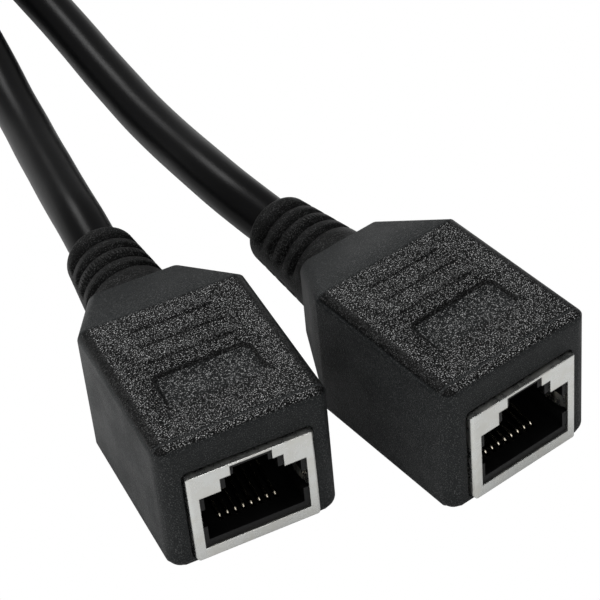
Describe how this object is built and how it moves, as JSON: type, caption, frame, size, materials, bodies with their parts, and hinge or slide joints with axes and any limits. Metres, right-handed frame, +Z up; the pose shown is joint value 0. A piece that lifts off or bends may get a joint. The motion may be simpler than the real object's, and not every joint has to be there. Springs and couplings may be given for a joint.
{
  "type": "rj45 splitter adapter",
  "caption": "Cable splitter with shielded modular sockets in black moulded heads, slotted strain reliefs and short round cables that meet in a boot behind one modular plug.",
  "frame": {"origin": "bottom centre of the two socket heads with their strain reliefs, on the surface they stand on", "axes": "+Z up, the sockets face -Y and are turned 6.2 degrees outwards each, the cables leave along +Y"},
  "size_m": [0.0526, 0.1849, 0.0197],
  "materials": {
    "overmould": "black moulded PVC, spark-eroded grain on top, finer grain on the sides",
    "shield": "nickel-plated sheet, satin",
    "housing": "black glass-filled insulating plastic",
    "carrier": "black insulating plastic",
    "premould": "natural polyethylene inner moulding",
    "contact": "gold-flashed spring wire",
    "jacket": "smooth glossy black PVC jacket",
    "boot": "black moulded PVC",
    "plug": "clear polycarbonate",
    "load_bar": "clear polycarbonate",
    "wire_1": "orange insulation",
    "wire_2": "green insulation",
    "wire_3": "blue insulation",
    "wire_4": "brown insulation"
  },
  "bodies": {
    "root": {"left_overmould": "overmould", "left_shield": "shield", "left_housing": "housing", "left_carrier": "carrier", "left_premould": "premould", "left_cable": "jacket", "left_contact_1": "contact", "left_contact_2": "contact", "left_contact_3": "contact", "left_contact_4": "contact", "left_contact_5": "contact", "left_contact_6": "contact", "left_contact_7": "contact", "left_contact_8": "contact", "left_pair_1": "wire_1", "left_pair_2": "wire_2", "left_pair_3": "wire_3", "left_pair_4": "wire_4", "right_overmould": "overmould", "right_shield": "shield", "right_housing": "housing", "right_carrier": "carrier", "right_premould": "premould", "right_cable": "jacket", "right_contact_1": "contact", "right_contact_2": "contact", "right_contact_3": "contact", "right_contact_4": "contact", "right_contact_5": "contact", "right_contact_6": "contact", "right_contact_7": "contact", "right_contact_8": "contact", "right_pair_1": "wire_1", "right_pair_2": "wire_2", "right_pair_3": "wire_3", "right_pair_4": "wire_4", "boot": "boot", "plug": "plug", "plug_load_bar": "load_bar", "plug_blade_1": "contact", "plug_blade_2": "contact", "plug_blade_3": "contact", "plug_blade_4": "contact", "plug_blade_5": "contact", "plug_blade_6": "contact", "plug_blade_7": "contact", "plug_blade_8": "contact", "plug_pair_1": "wire_1", "plug_pair_2": "wire_2", "plug_pair_3": "wire_3", "plug_pair_4": "wire_4"}
  },
  "joints": []
}
